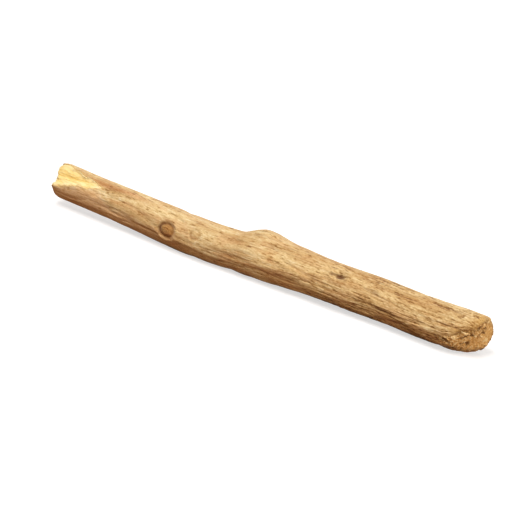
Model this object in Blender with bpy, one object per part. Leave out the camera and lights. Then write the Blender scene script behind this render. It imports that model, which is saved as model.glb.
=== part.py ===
"""A dried, cut length of serrate glory bower root, lying on its side.

The root is one grown piece, so it is one solid. It runs along X, with its
broken end at -X and its worn, bevelled end at +X. The side with the ring scar
and the split faces -Y, and it rests at z = 0 on two pressed spots underneath.
A place on the bark is given by its station along X and by an angle about the
pith: 0 faces -Y, 90 degrees is the top and -90 degrees is the underside.
"""

import math

import bmesh
import bpy
from mathutils import Vector, noise

MM = 0.001

# Driving dimensions of the root.
LENGTH = 122.0 * MM
BROKEN_X = -0.5 * LENGTH
WORN_X = 0.5 * LENGTH

# Cross-sections from the broken end to the worn one: share of the length,
# radius, and the pith's place across (y) and above the table (z).
SECTIONS = (
    (0.00, 4.55 * MM, 0.80 * MM, 6.10 * MM),
    (0.18, 4.72 * MM, 0.10 * MM, 5.40 * MM),
    (0.36, 5.00 * MM, -0.55 * MM, 4.60 * MM),
    (0.55, 4.90 * MM, -0.20 * MM, 5.12 * MM),
    (0.75, 5.05 * MM, 0.45 * MM, 5.10 * MM),
    (0.90, 5.20 * MM, 0.25 * MM, 4.90 * MM),
    (1.00, 5.85 * MM, -0.10 * MM, 5.10 * MM),
)

# The mesh: columns run along the bark, rings run round it.
COLUMNS = 60
BROKEN_RINGS = 6
WORN_RINGS = 7
BARK_RINGS = 84
RINGS = BROKEN_RINGS + BARK_RINGS + WORN_RINGS

# How far from each end the rings still lean to follow its rim.
BROKEN_LEAN = 16 * MM
WORN_LEAN = 34 * MM

# The shoulder left by a branch that was cut away, on the top rear: a knob on a
# long swelling. Each pair is for its side towards the broken end, then the worn one.
SHOULDER_X = 1.6 * MM
SHOULDER_ANGLE = math.radians(112)
SHOULDER_SPREAD = math.radians(60)
KNOB_HEIGHT = 1.05 * MM
KNOB_REACH = (3.2 * MM, 3.9 * MM)
SWELLING_HEIGHT = 1.25 * MM
SWELLING_REACH = (5.5 * MM, 15.5 * MM)
SWELLING_EDGE = (5.0, 1.8)
COLLAR_SHARE = 0.2

# Scars of rootlets: station, angle, radius of the ring, depth of its groove.
RING_SCARS = (
    (-23.5 * MM, math.radians(9), 1.75 * MM, 0.42 * MM),
    (-15.3 * MM, math.radians(27), 1.15 * MM, 0.14 * MM),
    (33.0 * MM, math.radians(168), 2.10 * MM, 0.38 * MM),
    (-6.5 * MM, math.radians(222), 1.30 * MM, 0.26 * MM),
)

# Pits where a rootlet has rotted out: station, angle, half length, half width, depth.
PITS = (
    (23.5 * MM, math.radians(48), 1.35 * MM, 0.90 * MM, 0.70 * MM),
    (-45.0 * MM, math.radians(152), 1.80 * MM, 1.00 * MM, 0.60 * MM),
)

# The split at the broken end, where a sliver was torn off and bares the wood.
SPLIT_LENGTH = 14.8 * MM
SPLIT_DEPTH = 2.25 * MM
SPLIT_TOP = math.radians(103)
SPLIT_BOTTOM = math.radians(-4)
SPLIT_STEP = math.radians(33)
SPLIT_TIP = math.radians(49)
SPLIT_RAGGED = math.radians(8)
SPLIT_TEAR = 2.9 * MM
BARK_THICKNESS = 0.38 * MM

# The bevel across the worn end faces forwards and down.
BEVEL_ANGLE = math.radians(-38)
BEVEL_START = 0.6 * MM
BEVEL_SLOPE = 1.4
BEVEL_SOFTNESS = 1.1 * MM
WORN_CROWN = 1.4 * MM
WORN_RELIEF = 0.41 * MM
RIM_WEAR = 0.03
RIM_WIDTH = 3.0 * MM

# The break is nearly square to the root, with a torn, fibrous face.
BREAK_RELIEF = 0.75 * MM
BREAK_LIP = 0.35 * MM
BROKEN_CROWN = 0.9 * MM

# Ridges and furrows of the bark: their size along and across the root, how far
# they wind round it in a metre, and how high and deep they are.
FURROW_LENGTH = 14.0 * MM
FURROW_WIDTH = 2.5 * MM
FURROW_TWIST = 2.4
RIDGE_HEIGHT = 0.36 * MM
FURROW_DEPTH = 0.34 * MM


def clamp(value, low=0.0, high=1.0):
    return max(low, min(high, value))


def mix(a, b, share):
    return a + (b - a) * share


def ease(share):
    """0 to 1 with a flat start and finish."""
    share = clamp(share)
    return share * share * (3 - 2 * share)


def turn_between(a, b):
    """The smallest turn from angle b to angle a, between -pi and pi."""
    return math.remainder(a - b, math.tau)


def share_of_length(x):
    return (x - BROKEN_X) / LENGTH


def section(x):
    """Radius of the smooth root at x, and its pith's y and z."""
    share = clamp(share_of_length(x))
    last = len(SECTIONS) - 2
    i = max(n for n in range(last + 1) if SECTIONS[n][0] <= share)
    start, end = SECTIONS[i], SECTIONS[i + 1]
    before, after = SECTIONS[max(i - 1, 0)], SECTIONS[min(i + 2, last + 1)]
    width = end[0] - start[0]
    t = (share - start[0]) / width
    values = []
    for k in (1, 2, 3):
        slope_in = (end[k] - before[k]) / (end[0] - before[0]) * width
        slope_out = (after[k] - start[k]) / (after[0] - start[0]) * width
        rise = end[k] - start[k]
        values.append(
            start[k]
            + slope_in * t
            + (3 * rise - 2 * slope_in - slope_out) * t**2
            + (slope_in + slope_out - 2 * rise) * t**3
        )
    return values


def shoulder(x, angle):
    """A knob where the lost branch stood, and a swelling that thins out right round the root."""
    side = 0 if x < SHOULDER_X else 1
    away = abs(x - SHOULDER_X)
    knob = math.exp(-((away / KNOB_REACH[side]) ** 2.2))
    swelling = math.exp(-((away / SWELLING_REACH[side]) ** SWELLING_EDGE[side]))
    across = math.exp(-((turn_between(angle, SHOULDER_ANGLE) / SHOULDER_SPREAD) ** 2))
    return KNOB_HEIGHT * knob * across**1.5 + SWELLING_HEIGHT * swelling * mix(across, 1, COLLAR_SHARE)


def ring_scars(x, angle, radius):
    """Round scars: a sunk ring with a swollen lip outside it and a domed button inside."""
    height = 0.0
    for scar_x, scar_angle, ring, depth in RING_SCARS:
        away = math.hypot(x - scar_x, turn_between(angle, scar_angle) * radius)
        if away < 2.4 * ring:
            groove = math.exp(-(((away - ring) / (0.30 * ring)) ** 2))
            lip = math.exp(-(((away - 1.55 * ring) / (0.32 * ring)) ** 2))
            button = math.exp(-((away / (0.62 * ring)) ** 2))
            height += depth * (0.45 * lip - groove - 0.15 * button)
    return height


def pits(x, angle, radius):
    height = 0.0
    for pit_x, pit_angle, half_length, half_width, depth in PITS:
        along = (x - pit_x) / half_length
        across = turn_between(angle, pit_angle) * radius / half_width
        away = math.hypot(along, across)
        height -= depth * math.exp(-(away**2))
        height += 0.30 * depth * math.exp(-(((away - 1.8) / 0.5) ** 2))
    return height


def furrows(x, angle, radius):
    """Ridges and furrows that wander along the bark, deepest low down near the worn end."""
    turned = angle + FURROW_TWIST * x
    around = Vector((0, math.cos(turned), math.sin(turned))) * radius / FURROW_WIDTH
    place = around + Vector((x / FURROW_LENGTH + 7.3, 0, 0))
    ridge = noise.noise(place)
    crease = 1 - clamp(abs(noise.noise(place * 1.2 + Vector((31.7, 4.2, 9.1)))) / 0.34)
    low = 0.5 - 0.5 * math.sin(angle)
    strength = mix(0.6, 1.0, ease((share_of_length(x) - 0.45) / 0.4) * low)
    return strength * (RIDGE_HEIGHT * ridge - FURROW_DEPTH * crease**1.5)


def out_of_round(x, angle):
    """How far the section departs from a circle, as a share of its radius."""
    lean = 9.0 * x
    return 0.028 * math.cos(2 * (angle - 0.7 + lean)) + 0.016 * math.cos(3 * angle + 2.2 * lean)


def split_cut(x, angle):
    """Share of the radius that the split takes away at this place, and 0 outside it."""
    along = (x - BROKEN_X) / SPLIT_LENGTH
    if along > 1:
        return 0.0
    along = max(along, 0.0)
    ragged = SPLIT_RAGGED * noise.noise(Vector((x / SPLIT_TEAR, 3.1, 0.4)))
    top = mix(SPLIT_TOP, SPLIT_TIP, along) + 0.3 * ragged
    bottom = mix(SPLIT_BOTTOM, SPLIT_STEP, clamp(along / 0.8)) + ragged
    bottom = mix(bottom, SPLIT_TIP, along**9)
    valley = mix(bottom, top, 0.42)
    turn = turn_between(angle, valley)
    reach = (top - valley) if turn > 0 else (valley - bottom)
    across = abs(turn) / max(reach, 1e-6)
    if across >= 1:
        return 0.0
    radius = section(x)[0]
    deep = mix(SPLIT_DEPTH, BARK_THICKNESS, along**1.3)
    hollow = 1 - across ** (1.6 if turn > 0 else 1.2)
    return (BARK_THICKNESS + (deep - BARK_THICKNESS) * hollow) / radius


def bark_radius(x, angle):
    radius = section(x)[0]
    relief = shoulder(x, angle) + ring_scars(x, angle, radius) + pits(x, angle, radius)
    relief += furrows(x, angle, radius)
    return (radius * (1 + out_of_round(x, angle)) + relief) * (1 - split_cut(x, angle))


def soft_ramp(value, softness):
    """0 below nothing and value above it, with a rounded corner between."""
    return 0.5 * (value + math.hypot(value, softness))


def torn_relief(y, z, size, seed):
    place = Vector((y / size, z / size, seed))
    return noise.noise(place) + 0.5 * noise.noise(place * 2.3)


def break_x(y, z):
    """The broken face at -X, by its place across the root: fibrous, with a lower lip."""
    away = clamp(math.hypot(y, z) / section(BROKEN_X)[0])
    lip = BREAK_LIP * clamp(-z / section(BROKEN_X)[0], -1, 1)
    torn = BREAK_RELIEF * torn_relief(y, z, 1.7 * MM, 5.5) * (1 - 0.6 * away**4)
    return BROKEN_X - lip - torn + BROKEN_CROWN * away**5


def worn_x(y, z):
    """The worn face at +X: a square end rounded by a bevel across its lower front."""
    away = clamp(math.hypot(y, z) / section(WORN_X)[0])
    towards_bevel = -y * math.cos(BEVEL_ANGLE) + z * math.sin(BEVEL_ANGLE)
    bevel = BEVEL_SLOPE * soft_ramp(towards_bevel + BEVEL_START, BEVEL_SOFTNESS)
    torn = WORN_RELIEF * torn_relief(y, z, 2.0 * MM, 11.5)
    return WORN_X - bevel - WORN_CROWN * away**7 + torn


def face_place(face, end_x, angle, share):
    """A point on an end face, share of the way from the pith out to the bark."""
    _, pith_y, pith_z = section(end_x)
    out = bark_radius(end_x, angle) * share
    y, z = -out * math.cos(angle), out * math.sin(angle)
    return Vector((face(y, z), pith_y + y, pith_z + z))


def worn_rim(angle):
    """Where the bark ends on the worn face, at this angle."""
    out = section(WORN_X)[0]
    return worn_x(-out * math.cos(angle), out * math.sin(angle))


def broken_rim(angle):
    out = bark_radius(BROKEN_X, angle)
    return break_x(-out * math.cos(angle), out * math.sin(angle))


def station_density(x):
    """How closely the rings stand at x, against 1 on plain bark."""
    density = 1.0
    density += 1.3 * math.exp(-(((x - BROKEN_X) / (13 * MM)) ** 4))
    density += 1.0 * math.exp(-(((x - WORN_X) / (15 * MM)) ** 4))
    for scar in (*RING_SCARS, *PITS):
        depth = scar[-1]
        density += 9.0 * MM**-1 * depth * math.exp(-(((x - scar[0]) / (3.2 * MM)) ** 4))
    density += 0.5 * math.exp(-(((x - SHOULDER_X) / (12 * MM)) ** 4))
    return density


def spread_stations(count):
    """Stations from one end to the other, closer together where there is more to shape."""
    slices = 600
    step = LENGTH / slices
    total = [0.0]
    for n in range(slices):
        total.append(total[-1] + station_density(BROKEN_X + (n + 0.5) * step))
    stations, n = [], 0
    for i in range(count + 1):
        wanted = total[-1] * i / count
        while n < slices - 1 and total[n + 1] < wanted:
            n += 1
        part_way = (wanted - total[n]) / (total[n + 1] - total[n])
        stations.append(BROKEN_X + (n + part_way) * step)
    return stations


def bark_place(station, angle):
    """A point on the bark. Near each end the rings lean to follow the rim."""
    from_broken = (station - BROKEN_X) / BROKEN_LEAN
    from_worn = (WORN_X - station) / WORN_LEAN
    x = station
    x += (broken_rim(angle) - BROKEN_X) * (1 - ease(from_broken))
    x += (worn_rim(angle) - WORN_X) * (1 - ease(from_worn))
    _, pith_y, pith_z = section(x)
    out = bark_radius(x, angle)
    out *= 1 - RIM_WEAR * (1 - clamp((WORN_X - station) / RIM_WIDTH)) ** 2
    return Vector((x, pith_y - out * math.cos(angle), pith_z + out * math.sin(angle)))


def root_place(ring, column, stations):
    """Where a vertex of the starting sphere goes on the root."""
    angle = math.tau * column / COLUMNS
    worn_ring = BROKEN_RINGS + BARK_RINGS
    if ring < BROKEN_RINGS:
        return face_place(break_x, BROKEN_X, angle, ring / BROKEN_RINGS)
    if ring > worn_ring:
        return worn_face_place(angle, (RINGS - ring) / WORN_RINGS)
    return bark_place(stations[ring - BROKEN_RINGS], angle)


def worn_face_place(angle, share):
    """Like face_place, but it meets the bark where the bevel has carried its rim."""
    rim = bark_place(WORN_X, angle)
    _, pith_y, pith_z = section(rim.x)
    y, z = (rim.y - pith_y) * share, (rim.z - pith_z) * share
    gap = rim.x - worn_x(rim.y - pith_y, rim.z - pith_z)
    _, heart_y, heart_z = section(WORN_X)
    centre = Vector((0, mix(heart_y, pith_y, share), mix(heart_z, pith_z, share)))
    return centre + Vector((worn_x(y, z) + gap * share**3, y, z))


def bark_material():
    material = bpy.data.materials.new("dried_root_bark")
    material.use_nodes = True
    surface = material.node_tree.nodes["Principled BSDF"]
    surface.inputs["Base Color"].default_value = (0.56, 0.37, 0.19, 1)
    surface.inputs["Roughness"].default_value = 0.82
    return material


def make_root(collection):
    """A sphere whose poles are the hearts of the two end faces, drawn out into the root."""
    stations = spread_stations(BARK_RINGS)
    shape = bmesh.new()
    bmesh.ops.create_uvsphere(shape, u_segments=COLUMNS, v_segments=RINGS, radius=1)
    for vert in shape.verts:
        ring = round(math.acos(clamp(-vert.co.z, -1, 1)) / math.pi * RINGS)
        column = round(math.atan2(vert.co.y, vert.co.x) / math.tau * COLUMNS)
        vert.co = root_place(ring, column, stations)
        vert.co.z = max(vert.co.z, 0.0)
    bmesh.ops.reverse_faces(shape, faces=shape.faces)
    centre_on_origin(shape)
    mesh = bpy.data.meshes.new("dried_root")
    shape.to_mesh(mesh)
    shape.free()
    mesh.shade_smooth()
    mesh.set_sharp_from_angle(angle=math.radians(50))
    mesh.materials.append(bark_material())
    collection.objects.link(bpy.data.objects.new("dried_root", mesh))


def centre_on_origin(shape):
    """Puts the origin midway along and across the root, at the height of the table."""
    for axis in (0, 1):
        values = [vert.co[axis] for vert in shape.verts]
        middle = 0.5 * (min(values) + max(values))
        for vert in shape.verts:
            vert.co[axis] -= middle


def main():
    for old in list(bpy.data.objects):
        bpy.data.objects.remove(old)
    collection = bpy.data.collections.new("serrate_glory_bower_root")
    bpy.context.scene.collection.children.link(collection)
    make_root(collection)


main()
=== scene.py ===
"""The looks of a dried, cut length of serrate glory bower root.

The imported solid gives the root's place and main form. Here that form is drawn
again with the fine relief of the real thing: furrowed bark with its scars, fresh
wood where a sliver tore off at the broken end, and worn wood on the bevelled end.

A place on the root is a station x along it, a distance out from the pith, and an
angle about the pith: 0 faces -Y, a quarter turn is the top. "Straight" places are
those of the root before its gentle bow, so that the grain runs along X in them.
"""

import math

import bpy
import numpy as np
from mathutils import Matrix, Vector, noise


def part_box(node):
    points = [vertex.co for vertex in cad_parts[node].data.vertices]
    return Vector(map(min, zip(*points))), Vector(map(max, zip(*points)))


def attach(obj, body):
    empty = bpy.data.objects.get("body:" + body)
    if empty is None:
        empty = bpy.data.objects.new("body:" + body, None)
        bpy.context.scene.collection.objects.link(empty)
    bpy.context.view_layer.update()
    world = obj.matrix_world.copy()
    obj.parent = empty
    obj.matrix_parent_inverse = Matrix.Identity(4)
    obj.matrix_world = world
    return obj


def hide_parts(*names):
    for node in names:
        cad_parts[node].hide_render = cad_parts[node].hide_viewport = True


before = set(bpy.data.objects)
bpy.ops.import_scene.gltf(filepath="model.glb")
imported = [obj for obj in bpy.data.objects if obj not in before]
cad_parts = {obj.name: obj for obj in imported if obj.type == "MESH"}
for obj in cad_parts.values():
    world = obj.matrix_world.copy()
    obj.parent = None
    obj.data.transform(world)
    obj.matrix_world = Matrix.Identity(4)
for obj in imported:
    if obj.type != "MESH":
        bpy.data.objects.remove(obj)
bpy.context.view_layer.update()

MM = 0.001
NODE = "dried_root"
BODY = "root"

# Driving dimensions of the root. These, the sections, the shoulder, the scars, the pits
# and the furrows are the solid's. The split and both ends follow the solid's more finely.
LENGTH = 122.0 * MM
BROKEN_X = -0.5 * LENGTH
WORN_X = 0.5 * LENGTH
BARK_THICKNESS = 0.38 * MM

# Cross-sections from the broken end to the worn one: share of the length,
# radius, and the pith's place across (y) and above the table (z).
SECTIONS = np.array((
    (0.00, 4.55 * MM, 0.80 * MM, 6.10 * MM),
    (0.18, 4.72 * MM, 0.10 * MM, 5.40 * MM),
    (0.36, 5.00 * MM, -0.55 * MM, 4.60 * MM),
    (0.55, 4.90 * MM, -0.20 * MM, 5.12 * MM),
    (0.75, 5.05 * MM, 0.45 * MM, 5.10 * MM),
    (0.90, 5.20 * MM, 0.25 * MM, 4.90 * MM),
    (1.00, 5.85 * MM, -0.10 * MM, 5.10 * MM),
))
BROKEN_RADIUS = SECTIONS[0, 1]
WORN_RADIUS = SECTIONS[-1, 1]

# Out of round: shares of the radius by which it is oval and three-sided, and the twist of both.
OVAL = 0.028
THREE_SIDED = 0.016
TWIST = 9.0

# The shoulder left by a lost branch, on the top rear. Pairs: broken side, worn side.
SHOULDER_X = 1.6 * MM
SHOULDER_ANGLE = math.radians(112)
SHOULDER_SPREAD = math.radians(60)
KNOB_HEIGHT = 1.05 * MM
KNOB_REACH = (3.2 * MM, 3.9 * MM)
KNOB_EDGE = 2.2
SWELLING_HEIGHT = 1.25 * MM
SWELLING_REACH = (5.5 * MM, 15.5 * MM)
SWELLING_EDGE = (5.0, 1.8)
COLLAR_SHARE = 0.2

# Scars of rootlets: station, angle, radius of the ring, depth of its groove.
RING_SCARS = (
    (-23.5 * MM, math.radians(9), 1.75 * MM, 0.42 * MM),
    (-15.3 * MM, math.radians(27), 1.15 * MM, 0.14 * MM),
    (33.0 * MM, math.radians(168), 2.10 * MM, 0.38 * MM),
    (-6.5 * MM, math.radians(222), 1.30 * MM, 0.26 * MM),
)
SCAR_STRETCH = 1.14     # here the rings are this much longer along the root than across it

# The groove, the lip round it and the button inside it, as shares of the ring's radius,
# and the lip's rise and the button's sink as shares of the groove's depth.
GROOVE_WIDTH = 0.30
LIP_PLACE = 1.55
LIP_WIDTH = 0.32
BUTTON_WIDTH = 0.62
LIP_RISE = 0.45
BUTTON_SINK = 0.15

# Pits of rotted rootlets: station, angle, half length, half width, depth.
PITS = (
    (23.5 * MM, math.radians(48), 1.35 * MM, 0.90 * MM, 0.70 * MM),
    (-45.0 * MM, math.radians(152), 1.80 * MM, 1.00 * MM, 0.60 * MM),
)
PIT_RIM_RISE = 0.30
PIT_RIM_PLACE = 1.8
PIT_RIM_WIDTH = 0.5

# The split: where its lower and upper edges lie, as station in mm and angle in degrees.
SPLIT_LENGTH = 14.8 * MM
SPLIT_DEPTH = 2.25 * MM
SPLIT_LOWER = np.array(((-62, -7), (-60.5, -4), (-55, 12), (-53.7, 21), (-52.5, 24), (-50.6, 30),
                        (-48.6, 34), (-47, 40), (-45.0, 50)))
SPLIT_UPPER = np.array(((-62, 104), (-60.7, 100), (-54.7, 80), (-50.5, 67), (-47.2, 60), (-45.0, 50)))
SPLIT_VALLEY = 0.42
SPLIT_TIP_X = -45.0 * MM
SPLIT_TIP_ANGLE = math.radians(50)
FURROW_FROM_TIP = 16 * MM

# The worn end: its bevel faces forwards and down. The bark's edge on it is given as
# angle in degrees and station in mm.
BEVEL_ANGLE = math.radians(-33)
BEVEL_START = 0.6 * MM
BEVEL_SLOPE = 1.4
BEVEL_SOFTNESS = 2.0 * MM
WORN_CROWN = 1.5 * MM
WORN_SINK = 0.05 * MM
WORN_RELIEF = 0.41 * MM
WORN_EDGE = np.array(((-180, 61.0), (-150, 60.4), (-120, 59.2), (-90, 57.0), (-70, 55.6), (-35, 52.8),
                      (-8, 52.0), (-2, 52.6), (1, 55.0), (20, 56.6), (33, 60.4), (43, 61.2), (100, 61.2),
                      (180, 61.0)))

# The break is nearly square to the root, with a notch where the split's valley meets it.
NOTCH_OUT = 3.0 * MM
NOTCH_ANGLE = math.radians(26)
NOTCH_WIDTH = 1.5 * MM
NOTCH_DEPTH = 2.2 * MM
BREAK_RELIEF = 0.50 * MM
BREAK_LIP = -0.40 * MM
BROKEN_CROWN = 1.4 * MM
BROKEN_ROUNDING = (0.7 * MM, 1.5 * MM)      # how much thinner the rim is: on top, below
ROUNDING_REACH = 2.3 * MM

# Ridges and furrows of the bark.
FURROW_LENGTH = 14.0 * MM
FURROW_WIDTH = 2.5 * MM
FURROW_TWIST = 2.4
RIDGE_HEIGHT = 0.36 * MM
FURROW_DEPTH = 0.34 * MM


# Small helpers

def mix(a, b, share):
    return a + (b - a) * share


def ease(share):
    """0 to 1 with a flat start and finish."""
    share = np.clip(share, 0, 1)
    return share * share * (3 - 2 * share)


def step_up(value, low, high):
    """0 below low, 1 above high, eased between."""
    return ease((value - low) / (high - low))


def hump(value, width, edge=2):
    """1 where the value is 0, and near 0 beyond the width. A higher edge falls more steeply."""
    return np.exp(-((value / width) ** edge))


def turn_between(a, b):
    """The smallest turn from angle b to angle a, between -pi and pi."""
    return (a - b + math.pi) % math.tau - math.pi


def noise_at(x, y, z):
    """Smooth noise, about -1 to 1, at arrays of places."""
    x, y, z = np.broadcast_arrays(x, y, z)
    places = zip(x.ravel().tolist(), y.ravel().tolist(), z.ravel().tolist())
    return np.array([noise.noise(place) for place in places]).reshape(x.shape)


def noise_round(angles, waves, seed):
    """Noise that runs round the root and meets itself. More waves make it finer."""
    return noise_at(seed, np.cos(angles) * waves, np.sin(angles) * waves)


def grain_noise(straight, cell, seed):
    """Noise drawn out along the grain. Its cell is a length along it and one across it, in mm."""
    x, y, z = straight
    along, across = cell[0] * MM, cell[1] * MM
    return noise_at(x / along + seed, y / across + 1.7 * seed, z / across - 2.3 * seed)


def crease(values, width):
    """1 on the thin lines where the noise crosses nothing, 0 away from them."""
    return 1 - np.clip(np.abs(values) / width, 0, 1)


# The main form

def section(x):
    """Radius of the smooth root at x, and its pith's y and z."""
    share = np.clip((x - BROKEN_X) / LENGTH, 0, 1)
    last = len(SECTIONS) - 2
    i = np.clip(np.searchsorted(SECTIONS[:, 0], share, side="right") - 1, 0, last)
    start, end = SECTIONS[i], SECTIONS[i + 1]
    before, after = SECTIONS[np.maximum(i - 1, 0)], SECTIONS[np.minimum(i + 2, last + 1)]
    rise = end - start
    width = rise[..., :1]
    t = (share - start[..., 0])[..., None] / width
    slope_in = (end - before) / (end - before)[..., :1] * width
    slope_out = (after - start) / (after - start)[..., :1] * width
    value = start + slope_in * t + (3 * rise - 2 * slope_in - slope_out) * t**2
    value = value + (slope_in + slope_out - 2 * rise) * t**3
    return value[..., 1], value[..., 2], value[..., 3]


def pith_place(x):
    """The place of the pith at station x."""
    _, y, z = section(x)
    return np.stack((x, y, z), axis=-1)


def shoulder(x, angle):
    """A knob on a long swelling, and a low collar all round."""
    worn_side = (x >= SHOULDER_X).astype(int)
    away = np.abs(x - SHOULDER_X)
    knob = hump(away, np.array(KNOB_REACH)[worn_side], KNOB_EDGE)
    swelling = hump(away, np.array(SWELLING_REACH)[worn_side], np.array(SWELLING_EDGE)[worn_side])
    across = hump(turn_between(angle, SHOULDER_ANGLE), SHOULDER_SPREAD)
    return KNOB_HEIGHT * knob * across**1.5 + SWELLING_HEIGHT * swelling * mix(across, 1, COLLAR_SHARE)


def ring_scars(x, angle, radius):
    height = np.zeros(np.shape(x))
    for scar_x, scar_angle, ring, depth in RING_SCARS:
        away = np.hypot((x - scar_x) / SCAR_STRETCH, turn_between(angle, scar_angle) * radius)
        groove = hump(away - ring, GROOVE_WIDTH * ring)
        lip = hump(away - LIP_PLACE * ring, LIP_WIDTH * ring)
        button = hump(away, BUTTON_WIDTH * ring)
        height += depth * (LIP_RISE * lip - groove - BUTTON_SINK * button)
    return height


def pits(x, angle, radius):
    height = np.zeros(np.shape(x))
    for pit_x, pit_angle, half_length, half_width, depth in PITS:
        across = turn_between(angle, pit_angle) * radius / half_width
        away = np.hypot((x - pit_x) / half_length, across)
        height += depth * (PIT_RIM_RISE * hump(away - PIT_RIM_PLACE, PIT_RIM_WIDTH) - hump(away, 1))
    return height


def furrows(x, angle, radius):
    """Ridges with furrows between them, strongest low down towards the worn end."""
    turned = angle + FURROW_TWIST * x
    across = np.cos(turned) * radius / FURROW_WIDTH
    up = np.sin(turned) * radius / FURROW_WIDTH
    along = x / FURROW_LENGTH + 7.3
    ridge = noise_at(along, across, up)
    furrow = crease(noise_at(along * 1.2 + 31.7, across * 1.2 + 4.2, up * 1.2 + 9.1), 0.34)
    low = 0.5 - 0.5 * np.sin(angle)
    strength = mix(0.6, 1.0, ease(((x - BROKEN_X) / LENGTH - 0.45) / 0.4) * low)
    return strength * (RIDGE_HEIGHT * ridge - FURROW_DEPTH * furrow**1.5)


def rim_rounding(x, angle):
    """How much the broken end is rounded off towards its rim, most of all below."""
    below = step_up(-np.sin(angle), -0.2, 0.9)
    near_rim = np.clip(1 - (x - BROKEN_X) / ROUNDING_REACH, 0, 1)
    return mix(*BROKEN_ROUNDING, below) * (1 - np.sqrt(1 - 0.95 * near_rim**2))


def whole_radius(x, angle):
    """Radius of the root with its bark all round, before anything was split off."""
    radius = section(x)[0]
    lean = TWIST * x
    out_of_round = OVAL * np.cos(2 * (angle - 0.7 + lean)) + THREE_SIDED * np.cos(3 * angle + 2.2 * lean)
    relief = shoulder(x, angle) + ring_scars(x, angle, radius) + pits(x, angle, radius)
    return radius * (1 + out_of_round) + relief - rim_rounding(x, angle) + furrows(x, angle, radius)


def torn_relief(y, z, size, seed):
    y, z = y / size, z / size
    return noise_at(y, z, seed) + 0.5 * noise_at(2.3 * y, 2.3 * z, 2.3 * seed)


def break_x(y, z):
    """Station of the broken face, by the place across the root."""
    away = np.clip(np.hypot(y, z) / BROKEN_RADIUS, 0, 1)
    lip = BREAK_LIP * np.clip(-z / BROKEN_RADIUS, -1, 1)
    torn = BREAK_RELIEF * torn_relief(y, z, 1.7 * MM, 5.5) * (1 - 0.6 * away**4)
    from_notch = np.hypot(y + NOTCH_OUT * math.cos(NOTCH_ANGLE), z - NOTCH_OUT * math.sin(NOTCH_ANGLE))
    notch = NOTCH_DEPTH * hump(from_notch, NOTCH_WIDTH)
    return BROKEN_X - lip - torn + notch + BROKEN_CROWN * away**5


def worn_x(y, z):
    """Station of the worn face: a square end rounded by a bevel across its lower front."""
    away = np.clip(np.hypot(y, z) / WORN_RADIUS, 0, 1)
    towards = -y * math.cos(BEVEL_ANGLE) + z * math.sin(BEVEL_ANGLE) + BEVEL_START
    past = 0.5 * (towards + np.hypot(towards, BEVEL_SOFTNESS))
    bevel = BEVEL_SLOPE * past * mix(0.75, 1.0, past / WORN_RADIUS)
    worn = WORN_RELIEF * torn_relief(y, z, 2.0 * MM, 11.5)
    return WORN_X - WORN_SINK - bevel - WORN_CROWN * away**5 + worn


# The fine form: where the bark ends, and the surfaces that it leaves bare

HUB_X = 55.0 * MM       # rays from the pith here reach every part of the worn end
SWITCH_X = 44.0 * MM    # bark rings are placed by station up to here, and by ray past it
RAY_LENGTH = 16 * MM
RAY_HALVINGS = 16
CORNER = 1.4 * MM       # rounding where the worn face meets the root's side
RIM_REACH = 0.25 * MM   # how far the bark stands past the broken wood
LEAST_RAY = math.radians(38)

# How ragged the bark's edges are: waves round the root, seed, and height in mm.
WORN_RAGGED = ((5, 3.1, 1.1), (12, 8.4, 0.8), (27, 2.2, 0.35))
BROKEN_RAGGED = ((6, 1.3, 0.35), (17, 6.1, 0.15))


def ragged(angles, layers):
    return sum(height * MM * noise_round(angles, waves, seed) for waves, seed, height in layers)


def worn_reach(angle, ray, inset):
    """Station and radius where a ray from the hub leaves the worn end. 0 points along +X."""
    near = np.zeros(np.broadcast(angle, ray).shape)
    far = near + RAY_LENGTH
    for _ in range(RAY_HALVINGS):
        middle = 0.5 * (near + far)
        x = HUB_X + middle * np.cos(ray)
        out = middle * np.sin(ray)
        past_side = out - (whole_radius(x, angle) - inset)
        past_face = x - (worn_x(-out * np.cos(angle), out * np.sin(angle)) - inset)
        outside = past_side + past_face + np.hypot(past_side - past_face, CORNER) > 0
        far = np.where(outside, middle, far)
        near = np.where(outside, near, middle)
    return HUB_X + near * np.cos(ray), near * np.sin(ray)


def worn_bark_edge(angles):
    """The ray at which the bark ends on the worn end, for each angle about the pith."""
    plain = np.interp(np.degrees(turn_between(angles, 0)), WORN_EDGE[:, 0], WORN_EDGE[:, 1]) * MM
    wanted = plain + ragged(angles, WORN_RAGGED)
    rays = np.linspace(math.radians(155), math.radians(30), 64)[:, None]
    x, _ = worn_reach(angles[None], rays, 0)
    edge = [np.interp(wanted[c], x[:, c], rays[:, 0]) for c in range(len(angles))]
    roll = math.radians(5) * noise_round(angles, 7, 5.5)
    return np.maximum(np.array(edge), LEAST_RAY + roll)


def split_edges(x):
    """Angles of the split's lower and upper edges at x."""
    tear = math.radians(5) * noise_at(x / (1.9 * MM), 3.1, 0.4)
    tear = tear + math.radians(2.5) * noise_at(x / (0.7 * MM), 8.1, 0.4)
    fade = np.clip((SPLIT_TIP_X - x) / (1.5 * MM), 0, 1)
    bottom = np.radians(np.interp(x / MM, SPLIT_LOWER[:, 0], SPLIT_LOWER[:, 1])) + tear * fade
    top = np.radians(np.interp(x / MM, SPLIT_UPPER[:, 0], SPLIT_UPPER[:, 1])) - 1.1 * tear * fade
    return bottom, top


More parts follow.
